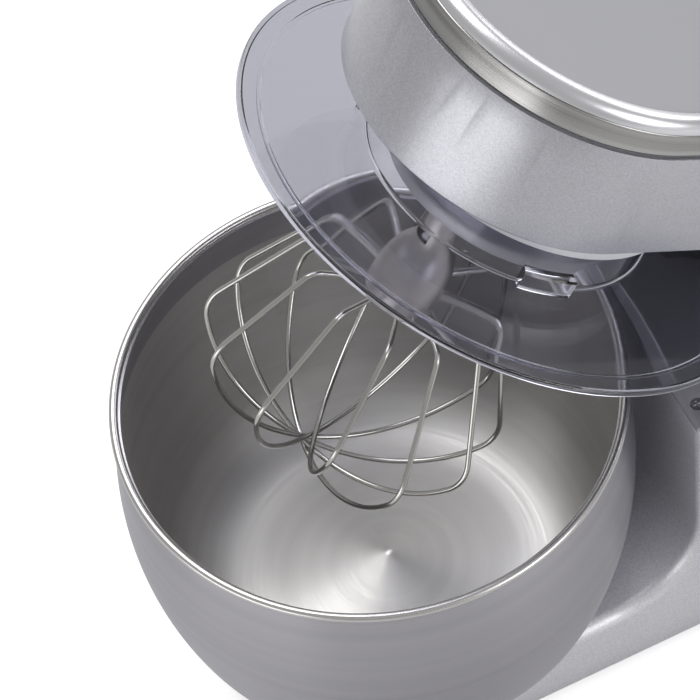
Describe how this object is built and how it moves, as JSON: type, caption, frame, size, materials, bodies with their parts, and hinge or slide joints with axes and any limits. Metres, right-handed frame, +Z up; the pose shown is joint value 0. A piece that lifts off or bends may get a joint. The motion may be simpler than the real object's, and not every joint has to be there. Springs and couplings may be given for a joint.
{
  "type": "stand mixer",
  "caption": "Planetary tilt-head stand mixer with its head raised: spun steel bowl, clear splash guard and balloon whisk on a satin silver base and head.",
  "frame": {"origin": "On the table, under the centre of the whole footprint with the head raised", "axes": "+X is the mixer's right side, with the speed knob; -Y is its front, with the bowl; +Z is up"},
  "size_m": [0.2452, 0.4672, 0.446],
  "materials": {
    "base_paint": "satin silver paint with a fine flake",
    "head_paint": "satin silver paint with a fine flake",
    "panel_grey": "matte mid grey",
    "bezel_metal": "polished, rounded edge",
    "band_metal": "brushed along its length",
    "bowl_steel": "spun, fine rings",
    "wire_steel": "polished wire",
    "hub_cast": "satin casting",
    "shaft_steel": "ground steel",
    "clear_guard": "clear plastic, polished",
    "ring_plastic": "satin light grey",
    "dark_plastic": "dark, fine texture",
    "tray_plastic": "dark grey, smooth",
    "lever_plastic": "dark grey, satin",
    "knob_metal": "turned, satin",
    "foot_rubber": "matte",
    "cast_metal": "as cast",
    "gear_plastic": "moulded",
    "bush_metal": "sintered",
    "bearing_steel": "ground",
    "screw_steel": "plated",
    "copper_winding": "enamelled wire",
    "belt_rubber": "matte",
    "board_green": "coated board"
  },
  "bodies": {
    "base": {"base_shell": "base_paint", "base_plate": "dark_plastic", "foot_front_left": "foot_rubber", "foot_front_right": "foot_rubber", "foot_rear_left": "foot_rubber", "foot_rear_right": "foot_rubber", "base_screws": "screw_steel", "bowl_seat": "dark_plastic", "column_top_plate": "panel_grey", "column_screws": "screw_steel", "column_tray": "tray_plastic", "hinge_bracket_left": "cast_metal", "hinge_bracket_right": "cast_metal", "hinge_pin": "shaft_steel", "lock_spring": "bearing_steel", "control_board": "board_green", "speed_switch": "dark_plastic", "safety_switch": "dark_plastic", "cord_gland": "dark_plastic"},
    "lock": {"lock_bolt": "shaft_steel"},
    "lever": {"release_lever": "lever_plastic"},
    "knob": {"speed_knob": "knob_metal"},
    "bowl": {"bowl": "bowl_steel", "bowl_foot": "bowl_steel"},
    "head": {"head_shell": "head_paint", "head_cover": "tray_plastic", "trim_band": "band_metal", "bezel": "bezel_metal", "top_panel": "panel_grey", "chassis": "cast_metal", "chassis_screws": "screw_steel", "hinge_arm": "cast_metal", "hinge_bushes": "bush_metal", "guard_ring": "ring_plastic", "gearbox_housing": "cast_metal", "ring_gear": "gear_plastic", "centre_bearings": "bearing_steel", "counter_bearing": "bush_metal", "motor_can": "cast_metal", "motor_stator": "copper_winding", "drive_belt": "belt_rubber"},
    "rotor": {"motor_rotor": "shaft_steel", "motor_fan": "dark_plastic", "motor_pulley": "cast_metal"},
    "counter": {"large_pulley": "dark_plastic", "counter_shaft": "shaft_steel"},
    "carrier": {"drive_gear": "gear_plastic", "centre_shaft": "shaft_steel", "planet_carrier": "cast_metal"},
    "planet": {"planet_gear": "gear_plastic", "planet_shaft": "shaft_steel", "cross_pin": "shaft_steel"},
    "whisk": {"whisk_hub": "hub_cast", "whisk_wires": "wire_steel"},
    "guard": {"splash_guard": "clear_guard"}
  },
  "joints": [
    {"name": "head_tilt", "type": "hinge", "parent": "base", "child": "head", "pos_m": [0, 0.08393, 0.126], "axis": [1, 0, 0], "range_deg": [0, 32]},
    {"name": "carrier_spin", "type": "hinge", "parent": "head", "child": "carrier", "pos_m": [0, -0.04201, 0.30375], "axis": [0, 0.5299, 0.848], "continuous": true},
    {"name": "planet_spin", "type": "hinge", "parent": "carrier", "child": "planet", "pos_m": [0.00777, -0.06659, 0.31911], "axis": [0, 0.5299, 0.848], "continuous": true},
    {"name": "counter_spin", "type": "hinge", "parent": "head", "child": "counter", "pos_m": [0, 0.04586, 0.32549], "axis": [0, 0.5299, 0.848], "continuous": true},
    {"name": "rotor_spin", "type": "hinge", "parent": "head", "child": "rotor", "pos_m": [0, 0.11636, 0.24016], "axis": [0, 0.5299, 0.848], "continuous": true},
    {"name": "whisk_turn", "type": "hinge", "parent": "planet", "child": "whisk", "pos_m": [0.00777, -0.08355, 0.29197], "axis": [0, 0.5299, 0.848], "range_deg": [0, 35]},
    {"name": "guard_turn", "type": "hinge", "parent": "head", "child": "guard", "pos_m": [0, -0.04466, 0.29951], "axis": [0, 0.5299, 0.848], "range_deg": [-20, 0]},
    {"name": "bowl_turn", "type": "hinge", "parent": "base", "child": "bowl", "pos_m": [0, -0.11707, 0.03], "axis": [0, 0, 1], "range_deg": [-20, 0]},
    {"name": "knob_turn", "type": "hinge", "parent": "base", "child": "knob", "pos_m": [0.085, 0.03293, 0.06], "axis": [1, 0, 0], "range_deg": [0, 270]},
    {"name": "lever_turn", "type": "hinge", "parent": "base", "child": "lever", "pos_m": [0.08, 0.06793, 0.072], "axis": [-1, 0, 0], "range_deg": [0, 22]},
    {"name": "bolt_slide", "type": "slide", "parent": "base", "child": "lock", "axis": [0, 0, -1], "range_m": [0, 0.0061], "stiffness_N_per_m": 8, "springref_m": -0.025, "deforming": ["lock_spring"]}
  ],
  "couplings": [
    {"joint": "planet_spin", "follows": "carrier_spin", "ratio": -3.2222},
    {"joint": "counter_spin", "follows": "carrier_spin", "ratio": -5},
    {"joint": "rotor_spin", "follows": "carrier_spin", "ratio": -20},
    {"joint": "lever_turn", "follows": "bolt_slide", "rad_per_m": 62.5}
  ]
}
